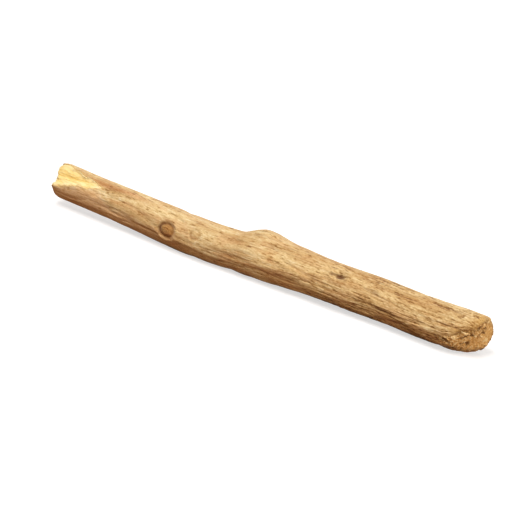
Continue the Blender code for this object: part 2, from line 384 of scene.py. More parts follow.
def broken_bark_edge(angles):
    """Where the bark begins at the broken end: on its rim, or along the split's edges."""
    radius = whole_radius(np.full(len(angles), BROKEN_X), angles)
    rim = break_x(-radius * np.cos(angles), radius * np.sin(angles))
    rim = rim - RIM_REACH + ragged(angles, BROKEN_RAGGED)
    x = np.arange(-62, SPLIT_TIP_X / MM, 0.04)[:, None] * MM
    bottom, top = split_edges(x)
    angle = turn_between(angles, 0)[None]
    inside = (angle > bottom) & (angle < top)
    furthest = np.where(inside, x, -1.0).max(0)
    return np.maximum(rim, furthest)


def split_hollow(x, angle):
    """How far the bare wood lies below the whole root's surface, in the split and beside it."""
    along = np.clip((x - BROKEN_X) / SPLIT_LENGTH, 0, 1)
    bottom, top = split_edges(x)
    valley = mix(bottom, top, SPLIT_VALLEY)
    turn = turn_between(angle, valley)
    reach = np.where(turn > 0, top - valley, valley - bottom)
    across = np.clip(np.abs(turn) / np.maximum(reach, 1e-4), 0, 1)
    hollow = 1 - across ** np.where(turn > 0, 1.6, 1.2)
    deep = mix(SPLIT_DEPTH, BARK_THICKNESS, along**1.3)
    return BARK_THICKNESS + (deep - BARK_THICKNESS) * hollow


# Making a piece from a sphere

MAP_MARGIN = 0.01


def bend(x, out, angle):
    """Straight places and the real ones, from station, distance out and angle."""
    straight = (x, -out * np.cos(angle), out * np.sin(angle))
    _, pith_y, pith_z = section(x)
    return straight, np.stack((x, straight[1] + pith_y, straight[2] + pith_z), axis=-1)


def outward(grid):
    """Unit normals of a grid of points that runs along the root, then round it."""
    along = np.gradient(grid, axis=0)
    round_it = np.roll(grid, -1, axis=1) - np.roll(grid, 1, axis=1)
    normal = np.cross(along, round_it)
    return normal / np.maximum(np.linalg.norm(normal, axis=-1, keepdims=True), 1e-12)


def close_ends(outer, start, finish, rings):
    """Adds rings that close a tube of points towards a point inside each end."""
    shares = np.linspace(0, 1, rings + 1)[:-1, None, None]
    first = mix(start, outer[0], shares)
    last = mix(outer[-1], finish, 1 - shares[::-1])
    return np.concatenate((first, outer, last))


def pad_rings(grid, count):
    """Repeats the first and last rows of a grid of numbers over rings added at its ends."""
    return np.pad(grid, ((count, count), (0, 0)), mode="edge")


def places_of(piece):
    """The places of a piece's points, one row each."""
    places = np.empty(3 * len(piece.data.vertices))
    piece.data.vertices.foreach_get("co", places)
    return places.reshape(-1, 3)


def keep(piece, name, values):
    """Keeps a number or a vector for each point, which the materials read."""
    kind, field = ("FLOAT", "value") if values.ndim == 1 else ("FLOAT_VECTOR", "vector")
    attribute = piece.data.attributes.new(name, kind, "POINT")
    attribute.data.foreach_set(field, values.astype(np.float32).ravel())


def sphere_from_grid(name, grid):
    """A sphere whose poles lie at the two ends of the grid, moved onto its points."""
    rings, columns = grid.shape[0] - 1, grid.shape[1]
    bpy.ops.object.select_all(action="DESELECT")
    bpy.ops.mesh.primitive_uv_sphere_add(segments=columns, ring_count=rings, radius=1)
    piece = bpy.context.object
    piece.name = piece.data.name = name
    start = places_of(piece)
    ring = np.rint(np.arccos(np.clip(-start[:, 2], -1, 1)) / math.pi * rings).astype(int)
    column = np.rint(np.arctan2(start[:, 1], start[:, 0]) / math.tau * columns).astype(int) % columns
    places = grid[ring, column]
    places[:, 2] = np.maximum(places[:, 2], 0)
    piece.data.vertices.foreach_set("co", places.ravel())
    bpy.ops.object.mode_set(mode="EDIT")
    bpy.ops.mesh.select_all(action="SELECT")
    bpy.ops.mesh.flip_normals()
    bpy.ops.object.mode_set(mode="OBJECT")
    bpy.ops.object.shade_smooth()
    return piece, ring, column


def lay_out(piece, ring, column, rows):
    """The piece's own UV map: its length along u, folded into rows, and the way round it along v."""
    mesh = piece.data
    places = places_of(piece)
    columns, last = column.max() + 1, ring.max()
    middles = np.array([places[ring == r].mean(axis=0) for r in range(last + 1)])
    steps = np.linalg.norm(np.diff(middles, axis=0), axis=1) + 0.02 * MM
    along = np.concatenate(([0], np.cumsum(steps))) / steps.sum()
    vertex, starts = np.empty(len(mesh.loops), int), np.empty(len(mesh.polygons), int)
    mesh.loops.foreach_get("vertex_index", vertex)
    mesh.polygons.foreach_get("loop_start", starts)
    face = np.repeat(np.arange(len(starts)), np.diff(np.append(starts, len(vertex))))
    ring, column = ring[vertex], column[vertex].astype(float)
    pole = (ring == 0) | (ring == last)
    lowest = np.minimum.reduceat(np.where(pole, columns, column), starts)[face]
    highest = np.maximum.reduceat(np.where(pole, 0, column), starts)[face]
    past_seam = (highest - lowest > columns / 2) & (column < columns / 2)
    column = np.where(past_seam, column + columns, column)
    beside = np.add.reduceat(np.where(pole, 0, column), starts) / np.add.reduceat(~pole, starts)
    column = np.where(pole, beside[face], column)
    first = along[np.minimum.reduceat(ring, starts)]
    row = np.minimum((first * rows).astype(int), rows - 1)[face]
    u = mix(MAP_MARGIN, 1 - MAP_MARGIN, along[ring] * rows - row)
    v = (row + mix(MAP_MARGIN, 1 - MAP_MARGIN, column / columns)) / rows
    layer = mesh.uv_layers[0] if mesh.uv_layers else mesh.uv_layers.new()
    layer.name = "OFBake"
    layer.data.foreach_set("uv", np.stack((u, v), axis=1).ravel())


def shape_piece(name, grid, marks, straight, added, rows=1):
    """Makes a piece, with its marks, its straight places in mm and its map for the materials.

    The grid has so many rings added at each end, which the marks and places lack.
    """
    piece, ring, column = sphere_from_grid(name, grid)
    for mark, values in marks.items():
        keep(piece, mark, pad_rings(values, added)[ring, column])
    grain = np.stack([pad_rings(values, added) for values in straight], axis=-1) / MM
    keep(piece, "grain", grain[ring, column])
    lay_out(piece, ring, column, rows)
    return piece


# The bark

BARK_COLUMNS = 252
STATION_RINGS = 262
RAY_RINGS = 86
WALL_RINGS = 3
CAP_RINGS = 3
BARK_CAPS = (-40 * MM, 48 * MM)     # stations where the bark closes, hidden in the wood
EDGE_LEAN = 38 * MM                 # how far the rings still lean to follow the broken edge

# Cells of the bark's noises in mm, along the grain and across it.
SWELL = (10, 2.2)
WRINKLE = (18, 0.75)
SMALL_WRINKLE = (10, 0.40)
WRINKLE_BREAKS = (5, 1.3)
CRACK = (12, 0.95)
CRACKED = (7, 2.4)
FIBRE = (1.3, 0.20)
CROSSING = (0.9, 0.55)
GRANULE = (0.55, 0.36)
DASH = (1.5, 0.40)
CORK = (5.5, 1.5)
CORK_GRAIN = (1.2, 0.35)
MOTTLE = (3.2, 1.0)

# Heights and depths of the bark's relief in mm.
SWELL_HEIGHT = 0.07
WRINKLE_DEPTH = 0.15
SMALL_WRINKLE_DEPTH = 0.085
CRACK_DEPTH = 0.15
DASH_DEPTH = 0.05
FIBRE_HEIGHT = 0.035
CROSSING_HEIGHT = 0.035
GRANULE_HEIGHT = 0.03
TIP_FURROW_DEPTH = 0.16
BARK_SINK = 0.07        # how far the fine relief lies below the plain form
SWAY = 0.13 * MM

# The scars' fine relief.
SWIRL_SPACING = 0.56 * MM
SWIRL_HEIGHT = 0.07 * MM
RING_DEPTH = 0.08 * MM
DARKEST_SIDE = math.radians(160)


def bark_stations():
    """Stations of the rings up to the switch, closer together where there is more to show."""
    x = np.linspace(BROKEN_X, SWITCH_X, 1200)
    density = 1 + 0.7 * hump(x - BROKEN_X, 14 * MM, 4)
    for scar in (*RING_SCARS, *PITS):
        density += 0.9 * hump(x - scar[0], 3.0 * MM, 4)
    total = np.concatenate(([0], np.cumsum(0.5 * (density[1:] + density[:-1]))))
    return np.interp(np.linspace(0, total[-1], STATION_RINGS), total, x)


def bark_grid():
    """Station, distance out and angle of the points on the bark's outside."""
    angles = math.tau * np.arange(BARK_COLUMNS) / BARK_COLUMNS
    stations = bark_stations()[:, None]
    lean = (1 - np.clip((stations - BROKEN_X) / EDGE_LEAN, 0, 1)) ** 1.5
    x = stations + (broken_bark_edge(angles)[None] - BROKEN_X) * lean
    angle = np.broadcast_to(angles, x.shape)
    out = whole_radius(x, angle)
    first_ray = np.arctan2(out[-1], SWITCH_X - HUB_X)
    steps = np.linspace(0, 1, RAY_RINGS + 1)[1:, None]
    rays = mix(first_ray, worn_bark_edge(angles), steps)
    end_x, end_out = worn_reach(angles[None], rays, 0)
    angle = np.broadcast_to(angles, (STATION_RINGS + RAY_RINGS, BARK_COLUMNS))
    return np.concatenate((x, end_x)), np.concatenate((out, end_out)), angle


def distance_from_last_ring(x, out):
    """How far each point is, along its column, from the bark's edge on the worn end."""
    steps = np.hypot(np.diff(x, axis=0), np.diff(out, axis=0))
    behind = np.cumsum(steps[::-1], axis=0)[::-1]
    return np.concatenate((behind, np.zeros((1, x.shape[1]))))


def ring_marks(x, angle):
    """For the ring scars: fine swirled relief, how dark each place is, and how much scar it is."""
    height, dark, scar = np.zeros(x.shape), np.zeros(x.shape), np.zeros(x.shape)
    for scar_x, scar_angle, ring, depth in RING_SCARS:
        along, across = (x - scar_x) / SCAR_STRETCH, turn_between(angle, scar_angle) * section(x)[0]
        away = np.hypot(along, across)
        about = np.arctan2(across, along)
        strength = (depth / RING_SCARS[0][3]) ** 1.1
        inside = 1 - step_up(away, 0.8 * ring, 1.0 * ring)
        swirl = np.cos(math.tau * away / SWIRL_SPACING + 1.6 * about + 1.3 * np.sin(2 * about))
        groove = hump(away - ring, 0.19 * ring) * (0.62 + 0.38 * np.cos(about - DARKEST_SIDE))
        height += strength * (inside * SWIRL_HEIGHT * swirl - groove * RING_DEPTH)
        dark = np.maximum(dark, 0.88 * strength * groove)
        dark = np.maximum(dark, strength * inside * 0.40 * step_up(-swirl, 0.1, 1.0))
        scar = np.maximum(scar, strength * (1 - step_up(away, 1.0 * ring, 1.35 * ring)))
    return height, dark, scar


def pit_marks(x, angle):
    """For the pits: a torn hole with a smaller one beside it, and how dark each place is."""
    height, dark = np.zeros(x.shape), np.zeros(x.shape)
    for pit_x, pit_angle, half_length, half_width, depth in PITS:
        along = (x - pit_x) / half_length
        across = turn_between(angle, pit_angle) * section(x)[0] / half_width
        beside = np.hypot((along + 1.25) / 0.42, (across + 0.1) / 0.4)
        uneven = 1 + 0.5 * noise_at(x / (0.7 * MM), across * 1.1, 4.4)
        deepest = np.hypot(along, across / 0.62)
        hole = hump(deepest * uneven, 1, 4) + 0.7 * hump(beside * uneven, 1, 3)
        height -= 0.10 * depth * hole
        dark = np.maximum(dark, 0.82 * np.minimum(hole, 1))
    return height, dark


def crumbs(straight):
    """Lumps, wisps, grains and hollows of the crumbled zone where bark and worn wood meet."""
    lump = grain_noise(straight, (2.2, 1.6), 3.7)
    wisp = crease(grain_noise(straight, (1.7, 0.9), 5.3) + 0.3 * lump, 0.24)
    grain = grain_noise(straight, (0.80, 0.50), 6.2)
    hollow = step_up(grain_noise(straight, (1.7, 1.0), 16.9) + 0.3 * lump + 0.3 * grain, 0.10, 0.38)
    return lump, wisp, grain, hollow


def wavering(straight, sway):
    """Straight places shifted round the pith, so that what is drawn on them wavers along the grain."""
    x, y, z = straight
    out = np.hypot(y, z)
    wave = grain_noise(straight, (3.2, 1.4), 14.2) + 0.5 * grain_noise(straight, (1.3, 0.9), 2.6)
    turned = np.arctan2(z, y) + sway * wave / np.maximum(out, MM)
    return x, out * np.cos(turned), out * np.sin(turned)


def split_furrow(x, angle):
    """The shallow furrow that runs on from the split's tip, and the bruised band above it."""
    along = (x - SPLIT_TIP_X) / FURROW_FROM_TIP
    centre = SPLIT_TIP_ANGLE + math.radians(5) * np.sin(3.1 * along)
    turn = turn_between(angle, centre) * 4.7 * MM
    there = step_up(along, -0.03, 0.05) * (1 - step_up(along, 0.55, 1.0))
    band = step_up(turn, 0.0, 0.8 * MM) * (1 - step_up(turn, 1.6 * MM, 2.8 * MM))
    return hump(turn, 0.33 * MM) * there, band * (1 - step_up(along, 0.5, 1.1)) * step_up(along, -0.9, -0.5)


def bark_regions(x, angle):
    """How low a place is, how far to the upper right and to the lower left, and how rough."""
    low = 0.5 - 0.5 * np.sin(angle)
    upper_right = ease((x / LENGTH + 0.05) / 0.3) * (0.5 + 0.5 * np.sin(angle))
    turn = turn_between(angle, 0)
    brown_edge = mix(split_edges(x)[0], math.radians(2), step_up(x, -48 * MM, -40 * MM))
    lower_left = ease((-x / LENGTH - 0.05) / 0.3) * step_up(brown_edge - turn, -0.1, 0.3)
    lower_left = lower_left * step_up(turn, -3.1, -2.0)
    rough = mix(0.4, 1.45, ease(((x - BROKEN_X) / LENGTH - 0.42) / 0.35) * mix(0.30, 1.0, low))
    return low, upper_right, lower_left, rough


def bark_lines(straight):
    """The broken wrinkles and their depth, and the cracks, all wavering along the grain."""
    wavy = wavering(straight, SWAY)
    wrinkle = grain_noise(wavy, WRINKLE, 7.7)
    small = grain_noise(wavy, SMALL_WRINKLE, 5.7)
    unbroken = mix(0.35, 1.0, step_up(grain_noise(straight, WRINKLE_BREAKS, 6.6), -0.25, 0.1))
    depth = WRINKLE_DEPTH * crease(wrinkle, 0.22) ** 1.3 + SMALL_WRINKLE_DEPTH * crease(small, 0.22) ** 1.3
    cracked = step_up(grain_noise(straight, CRACKED, 6.6), 0.02, 0.25)
    crack = crease(grain_noise(wavy, CRACK, 3.3), 0.13) * cracked
    return wrinkle, unbroken * depth, crack


def bark_relief(x, angle, straight, from_worn_edge):
    """Height of the bark's fine relief, and the marks that its material reads."""
    low, upper_right, lower_left, rough = bark_regions(x, angle)
    wrinkle, lines, crack = bark_lines(straight)
    tip_furrow, bruise = split_furrow(x, angle)
    swell = grain_noise(straight, SWELL, 2.1)
    fibre = grain_noise(straight, FIBRE, 9.4)
    crossing = grain_noise(straight, CROSSING, 19.1)
    granule = grain_noise(straight, GRANULE, 23.3)
    dash = step_up(grain_noise(straight, DASH, 11.9), 0.30, 0.48)
    rubbed = 1 - step_up(from_worn_edge, 0.5 * MM, 4.5 * MM)
    rubbed = rubbed * step_up(np.sin(angle), -0.2, 0.4)

    height = rough * (
        SWELL_HEIGHT * swell - lines + FIBRE_HEIGHT * fibre + CROSSING_HEIGHT * crossing
        - CRACK_DEPTH * crack - DASH_DEPTH * dash
    )
    height += GRANULE_HEIGHT * granule * (0.4 + upper_right) + 0.05 * rubbed * crossing
    height = (height - TIP_FURROW_DEPTH * tip_furrow - BARK_SINK) * MM
    ring_height, ring_dark, scar = ring_marks(x, angle)
    pit_height, pit_dark = pit_marks(x, angle)
    height = height * (1 - 0.6 * scar) + ring_height + pit_height
    lump, wisp, grain, hollow = crumbs(straight)
    crumbled = hump(from_worn_edge, 1.7 * MM) * mix(0.4, 1.0, step_up(np.cos(angle), -0.1, 0.5))
    height += MM * crumbled * (0.08 * lump + 0.16 * wisp + 0.17 * grain - 0.18 * hollow)

    mottle = grain_noise(straight, MOTTLE, 21.4)
    tone = 0.63 + 0.10 * swell + 0.08 * mottle + 0.05 * wrinkle
    tone -= mix(2.0, 2.9, ease(x / (30 * MM))) * rough * lines
    tone += 0.13 * fibre + 0.11 * crossing + (0.08 + 0.20 * upper_right) * granule
    # Darker from the middle towards the worn end and along the tip's furrow; the further darkening on the
    # lower side there is painted shade.
    tone -= 0.25 * tip_furrow + step_up(x, 2 * MM, 30 * MM) * (0.10 + 0.18 * step_up(low, 0.45, 0.8))
    tone += lower_left * (0.12 + 0.24 * step_up(-x, 25 * MM, 45 * MM))
    tone += crumbled * (0.20 * wisp + 0.34 * grain) - 0.34 * dash * (1 - 0.6 * scar)
    # Brown along the cracks; the darkening in the crumbled hollows by the worn end is painted shade.
    dark = np.maximum(0.60 * crack * np.minimum(rough, 1) * (1 - 0.6 * scar), 0.75 * crumbled * hollow)
    dark = np.maximum(dark, np.maximum(ring_dark, pit_dark))
    patch = grain_noise(straight, CORK, 8.8) + 0.6 * grain_noise(straight, CORK_GRAIN, 4.4)
    cork = mix(0.4, 0.7, low) * step_up(patch, 0.05, 0.22) * (1 - 0.75 * upper_right)
    cork = np.maximum(cork, np.maximum(0.85 * lower_left, 0.8 * bruise))
    return height, {"tone": tone, "cork": cork, "dark": dark, "scar": scar, "rubbed": rubbed}


def make_bark():
    x, out, angle = bark_grid()
    straight, grid = bend(x, out, angle)
    from_worn_edge = distance_from_last_ring(x, out)
    from_break = x - x[0]
    height, marks = bark_relief(x, angle, straight, from_worn_edge)
    height -= 0.12 * MM * hump(from_worn_edge, 0.9 * MM)
    height -= 0.04 * MM * hump(from_break, 1.5 * MM)
    grid = grid + outward(grid) * height[..., None]

    # Walls down the torn edges, from the bark's outside to below the wood's surface.
    inwards = pith_place(x) - grid
    inwards[-1, :, 0] -= 0.6 * np.linalg.norm(inwards[-1], axis=-1)
    inwards /= np.linalg.norm(inwards, axis=-1, keepdims=True)
    depths = np.linspace(0.25, 1.25, WALL_RINGS)[:, None, None]
    broken_wall = grid[:1] + inwards[:1] * depths[::-1] * BARK_THICKNESS
    worn_wall = grid[-1:] + inwards[-1:] * depths * BARK_THICKNESS
    grid = np.concatenate((broken_wall, grid, worn_wall))
    grid = close_ends(grid, *(pith_place(station) for station in BARK_CAPS), CAP_RINGS)

    beside_split = step_up(x[0] - BROKEN_X, 0.8 * MM, 2.0 * MM)
    inner = 0.75 * beside_split * hump(from_break, 0.55 * MM)
    wall = np.linspace(0.3, 1, WALL_RINGS)[:, None] + np.zeros((1, BARK_COLUMNS))
    marks = {mark: pad_rings(values, WALL_RINGS) for mark, values in marks.items()}
    marks["inner"] = np.concatenate((wall[::-1], inner, wall))
    straight = [pad_rings(values, WALL_RINGS) for values in straight]
    return shape_piece("root_bark", grid, marks, straight, CAP_RINGS, rows=2)


# The bare wood of the broken end

SPLIT_COLUMNS = 240
FACE_RINGS = 34
SIDE_RINGS = 84
SPLIT_WOOD_END = -43 * MM
WOOD_DEPTH_AT_EDGE = 0.04 * MM


def split_wood_grid():
    angles = math.tau * np.arange(SPLIT_COLUMNS) / SPLIT_COLUMNS
    start = np.full(SPLIT_COLUMNS, BROKEN_X)
    rim_out = whole_radius(start, angles) - split_hollow(start, angles)
    rim_x = break_x(-rim_out * np.cos(angles), rim_out * np.sin(angles))
    shares = (np.linspace(0, 1, FACE_RINGS + 1)[1:-1] ** 0.8)[:, None]
    face_out = rim_out * shares
    face_x = break_x(-face_out * np.cos(angles), face_out * np.sin(angles))
    side_x = mix(rim_x, SPLIT_WOOD_END, np.linspace(0, 1, SIDE_RINGS)[:, None])
    angle = np.broadcast_to(angles, side_x.shape)
    side_out = whole_radius(side_x, angle) - split_hollow(side_x, angle) - WOOD_DEPTH_AT_EDGE
    x, out = np.concatenate((face_x, side_x)), np.concatenate((face_out, side_out))
    return x, out, np.broadcast_to(angles, x.shape)


def torn_wood_relief(straight, on_face):
    """Torn fibres: long ridges and splinter steps on the sides, stubs and pits on the face."""
    bundle = grain_noise(straight, (9, 0.85), 2.9)
    fibre = grain_noise(straight, (4.5, 0.30), 7.1)
    thin = grain_noise(straight, (2.0, 0.17), 1.3)
    ledge = step_up(grain_noise(straight, (5, 1.1), 12.5), 0.05, 0.12)
    side = 0.22 * bundle + 0.09 * fibre + 0.03 * thin + 0.14 * ledge
    face = 0.28 * bundle + 0.20 * fibre + 0.08 * thin + 0.12 * ledge
    tone = 0.60 + 0.15 * bundle + 0.16 * fibre + 0.14 * thin + 0.08 * (ledge - 0.5)
    return MM * mix(side, face, on_face), tone


def make_split_wood():
    x, out, angle = split_wood_grid()
    straight, grid = bend(x, out, angle)
    on_face = np.zeros(x.shape)
    on_face[: FACE_RINGS - 1] = 1
    on_face[FACE_RINGS - 3 : FACE_RINGS + 1] = 0.5
    height, tone = torn_wood_relief(straight, on_face)
    bottom, top = split_edges(x)
    turn = turn_between(angle, 0)
    bare = np.maximum(on_face, step_up(np.minimum(turn - bottom, top - turn), -0.06, 0.08))
    # Paler along the split's edges, most along the lower one: painted highlight.
    edge_highlight = 0.36 * hump(turn - bottom, math.radians(13)) + 0.18 * hump(top - turn, math.radians(9))
    tone += (1 - on_face) * (edge_highlight - 0.10)
    grid = grid + outward(grid) * (height * mix(0.3, 1.0, bare))[..., None]
    middle = pith_place(BROKEN_X)
    middle[0] = break_x(0.0, 0.0) + 0.5 * MM
    grid = close_ends(grid, middle, pith_place(SPLIT_WOOD_END + MM), 1)
    return shape_piece("split_wood", grid, {"tone": tone}, straight, 1)


# The worn wood of the bevelled end

WORN_COLUMNS = 240
WORN_RINGS = 128
WORN_INSET = 0.25 * MM
UNDER_BARK = 0.3 * MM
WORN_WOOD_START = 46 * MM
LAST_RAY = math.radians(146)


def worn_wood_relief(straight, from_bark, on_bevel, angle):
    """Crumbly wood with wisps and crevices, roughest beside the bark and smoother on the bevel."""
    lump, wisp, grain, hollow = crumbs(straight)
    fine = grain_noise(straight, (0.32, 0.24), 10.1)
    beside = hump(from_bark - 1.3 * MM, 2.6 * MM)
    beside *= mix(0.35, 1.0, step_up(np.cos(angle - math.radians(20)), -0.1, 0.5))
    rough = mix(mix(0.6, 0.2, on_bevel), 1.5, beside)
    hole = hollow * step_up(beside, 0.30, 0.8)
    height = MM * (0.12 * lump + rough * (0.16 * wisp + 0.17 * grain + 0.06 * fine) - 0.24 * hole)
    # Darker in the crevices beside the bark: painted shade.
    tone = 0.56 + 0.15 * lump + rough * (0.26 * wisp + 0.34 * grain + 0.20 * fine) - 0.10 * hole
    return height, {"tone": tone, "dark": np.clip(0.9 * hole, 0, 1)}


def make_worn_wood():
    angles = math.tau * np.arange(WORN_COLUMNS) / WORN_COLUMNS
    rays = (np.linspace(0, 1, WORN_RINGS + 1)[1:] ** 0.9)[::-1, None] * LAST_RAY
    x, out = worn_reach(angles[None], rays, WORN_INSET)
    angle = np.broadcast_to(angles, x.shape)
    from_bark = (worn_bark_edge(angles)[None] - rays) * np.hypot(x - HUB_X, out)
    covered = step_up(-from_bark, 0.2 * MM, 1.5 * MM)
    x, out = x - UNDER_BARK * covered * np.cos(rays), out - UNDER_BARK * covered * np.sin(rays)
    straight, grid = bend(x, out, angle)
    on_bevel = step_up(out * np.cos(angle - BEVEL_ANGLE), 0.5 * MM, 3.5 * MM)
    height, marks = worn_wood_relief(straight, from_bark, on_bevel, angle)
    grid = grid + outward(grid) * (height * mix(1.0, 0.4, covered))[..., None]
    grid = close_ends(grid, pith_place(WORN_WOOD_START), grid[-1].mean(axis=0), 1)
    return shape_piece("worn_wood", grid, marks, straight, 1)


# Loose bits along the torn edges: chips of bark, splinters and curls of wood

SEED = 23
CHIPS = 70
STUBS = 120
SPLINTERS = 60
CURLS = 16
CHIP_CUTS = 3
SPLINTER_SIDES = 5
SPLINTER_CUTS = 2
CURL_SIDES = 6
CURL_STEPS = 14


def bark_chip():
    """A thin chip that tapers and curls up, 1 long along X, 0.5 wide and 0.08 thick."""
    bpy.ops.object.select_all(action="DESELECT")
    bpy.ops.mesh.primitive_cube_add(size=1, location=(0.35, 0, 0), scale=(1, 0.5, 0.08))
    chip = bpy.context.object
    bpy.ops.object.transform_apply()
    bpy.ops.object.mode_set(mode="EDIT")
    bpy.ops.mesh.subdivide(number_cuts=CHIP_CUTS)
    bpy.ops.object.mode_set(mode="OBJECT")
    for point in chip.data.vertices:
        x, y, z = point.co
        rise = 0.2 * max(x, 0) ** 2 - 0.25 * y * y
        wobble = 0.16 * noise.noise_vector((3.1 * x, 3.1 * y, 0.4))
        point.co = Vector((x, y * (1 - 0.75 * max(x, 0) ** 1.5), z * (1.2 - x) + rise)) + wobble
    bpy.ops.object.shade_smooth()
    return chip


def wood_splinter():
    """A blunt spike, 1.2 long along X and 0.12 thick at its foot, bent along its length."""
    bpy.ops.object.select_all(action="DESELECT")
    bpy.ops.mesh.primitive_cone_add(vertices=SPLINTER_SIDES, radius1=0.06, radius2=0.015, depth=1.2,
                                    location=(0.4, 0, 0), rotation=(0, math.pi / 2, 0))
    splinter = bpy.context.object
    bpy.ops.object.transform_apply()
    bpy.ops.object.mode_set(mode="EDIT")
    bpy.ops.mesh.select_mode(type="EDGE")
    bpy.ops.mesh.select_all(action="DESELECT")
    bpy.ops.object.mode_set(mode="OBJECT")
    for edge in splinter.data.edges:
        foot, tip = (splinter.data.vertices[i].co.x for i in edge.vertices)
        edge.select = abs(tip - foot) > 0.5
    bpy.ops.object.mode_set(mode="EDIT")
    bpy.ops.mesh.subdivide(number_cuts=SPLINTER_CUTS)
    bpy.ops.mesh.select_mode(type="VERT")
    bpy.ops.object.mode_set(mode="OBJECT")
    for point in splinter.data.vertices:
        point.co.z += 0.22 * max(point.co.x, 0) ** 2
    bpy.ops.object.shade_smooth()
    return splinter


def wood_curl():
    """A rolled-up fibre: an open ring of radius 1 in the XY plane, that rises a little as it turns."""
    bpy.ops.object.select_all(action="DESELECT")
    bpy.ops.mesh.primitive_circle_add(vertices=CURL_SIDES, radius=0.22, fill_type="NGON",
                                      location=(1, 0, 0), rotation=(math.pi / 2, 0, 0))
    curl = bpy.context.object
    bpy.ops.object.transform_apply()
    bpy.ops.object.mode_set(mode="EDIT")
    bpy.ops.mesh.select_all(action="SELECT")
    bpy.ops.mesh.spin(steps=CURL_STEPS, angle=math.radians(290), center=(0, 0, 0), axis=(0, 0, 1))
    bpy.ops.mesh.select_all(action="SELECT")
    bpy.ops.mesh.normals_make_consistent(inside=False)
    bpy.ops.object.mode_set(mode="OBJECT")
    for point in curl.data.vertices:
        point.co.z += 0.4 * (0.5 + math.atan2(point.co.y, point.co.x) / math.tau)
    bpy.ops.object.shade_smooth()
    return curl


def placed(place, ahead, out, size):
    """The matrix that puts a small shape at a place, with its X axis ahead and its Z axis outwards."""
    side = Vector(out).cross(Vector(ahead)).normalized()
    up = Vector(ahead).cross(side).normalized()
    turn = Matrix((Vector(ahead).normalized(), side, up)).transposed().to_4x4()
    return Matrix.Translation(Vector(place)) @ turn @ Matrix.Diagonal((*size, 1))


def scatter(name, shape, matrices, tones):
    """Copies of the shape, each with its own mesh, joined in one piece."""
    copies = []
    for matrix, tone in zip(matrices, tones):
        copy = bpy.data.objects.new(name, shape.data.copy())
        bpy.context.scene.collection.objects.link(copy)
        copy.data.transform(matrix)
        keep(copy, "tone", np.full(len(copy.data.vertices), tone))
        copies.append(copy)
    bpy.data.objects.remove(shape)
    bpy.ops.object.select_all(action="DESELECT")
    for copy in copies:
        copy.select_set(True)
    bpy.context.view_layer.objects.active = copies[0]
    bpy.ops.object.join()
    piece = bpy.context.object
    piece.name = piece.data.name = name
    grain = places_of(piece)
    grain[:, 1:] -= pith_place(grain[:, 0])[:, 1:]
    keep(piece, "grain", grain / MM)
    return piece


def worn_place(angle, beyond):
    """A place on the worn end so far beyond the bark's edge, and the ways onwards and outwards."""
    angles = np.array([angle])
    edge = worn_bark_edge(angles)[0]
    x, out = worn_reach(angles, np.array([edge]), WORN_INSET)
    ray = edge - beyond / float(np.hypot(x[0] - HUB_X, out[0]))
    near, far = (worn_reach(angles, np.array([r]), WORN_INSET) for r in (ray, ray - 0.08))
    place, further = (bend(x[0], out[0], angle)[1] for x, out in (near, far))
    return place, further - place, place - pith_place(HUB_X)


def make_chips(draw):
    """Chips of bark that stand off along its edge on the worn end."""
    matrices = []
    for i in range(CHIPS):
        angle = math.tau * (i + draw.uniform(-0.4, 0.4)) / CHIPS
        place, ahead, out = worn_place(angle, draw.uniform(-0.9, 0.3) * MM)
        ahead = Vector(ahead).normalized() + draw.uniform(-0.1, 0.1) * Vector(out).normalized()
        aside = Vector(out).cross(ahead).normalized() * draw.uniform(-0.7, 0.7)
        length = draw.uniform(0.4, 0.85) * MM
        matrices.append(placed(place, ahead + aside, out, (length, length * draw.uniform(0.7, 1.3), MM)))
    return scatter("bark_chips", bark_chip(), matrices, draw.uniform(0.25, 0.75, CHIPS))


def make_curls(draw):
    """Pale curls of fibre among the crumbled wood beside the bark."""
    matrices = []
    for i in range(CURLS):
        angle = math.radians(mix(-75, 78, (i + 0.5) / CURLS) + draw.uniform(-4, 4))
        place, ahead, out = worn_place(angle, draw.uniform(0.2, 1.6) * MM)
        lean = Vector(out).normalized() + Vector(draw.uniform(-0.5, 0.5, 3))
        turned = Matrix.Rotation(draw.uniform(0, math.tau), 3, Vector(out)) @ Vector(ahead)
        radius = draw.uniform(0.18, 0.36) * MM
        matrices.append(placed(place, turned, lean, (radius, radius * draw.uniform(0.6, 1.0), 0.4 * MM)))
    return scatter("wood_curls", wood_curl(), matrices, draw.uniform(0.5, 0.9, CURLS))


def stub_matrix(draw):
    """A stub of torn fibre on the broken face."""
    out, angle = BROKEN_RADIUS * 0.76 * math.sqrt(draw.uniform(0, 1)), draw.uniform(0, math.tau)
    out = min(out, BROKEN_RADIUS - float(split_hollow(BROKEN_X, angle)) - 0.4 * MM)
    y, z = -out * math.cos(angle), out * math.sin(angle)
    place = pith_place(BROKEN_X) + (0, y, z)
    place[0] = break_x(y, z) + 0.1 * MM
    ahead = (-1.0, draw.uniform(-0.35, 0.35), draw.uniform(-0.35, 0.35))
    length = draw.uniform(0.3, 0.6) * MM
    return placed(place, ahead, (0, draw.uniform(-1, 1), 1), (length, 1.3 * MM, 1.3 * MM))


def splinter_matrix(draw, edge):
    """A splinter that lies along the split's lower edge, 0, or its upper one, 1."""
    x = mix(-58.6, SPLIT_TIP_X / MM - 0.6, draw.uniform(0, 1)) * MM
    angle = split_edges(x)[edge] + math.radians(draw.uniform(-2.5, 2.5))
    place = bend(x, whole_radius(np.array(x), angle) - BARK_THICKNESS, angle)[1]
    outwards = place - pith_place(x)
    ahead = Vector((-1.0, 0, 0)) + 0.01 * Vector(outwards).normalized() + Vector(draw.uniform(-0.1, 0.1, 3))
    length = draw.uniform(0.7, 1.7) * MM
    return placed(place, ahead, outwards, (length, 2.0 * MM, 0.9 * MM))


def make_splinters(draw):
    matrices = [stub_matrix(draw) for _ in range(STUBS)]
    matrices += [splinter_matrix(draw, i % 2) for i in range(SPLINTERS)]
    return scatter("wood_splinters", wood_splinter(), matrices, draw.uniform(0.5, 1.0, len(matrices)))


# Materials

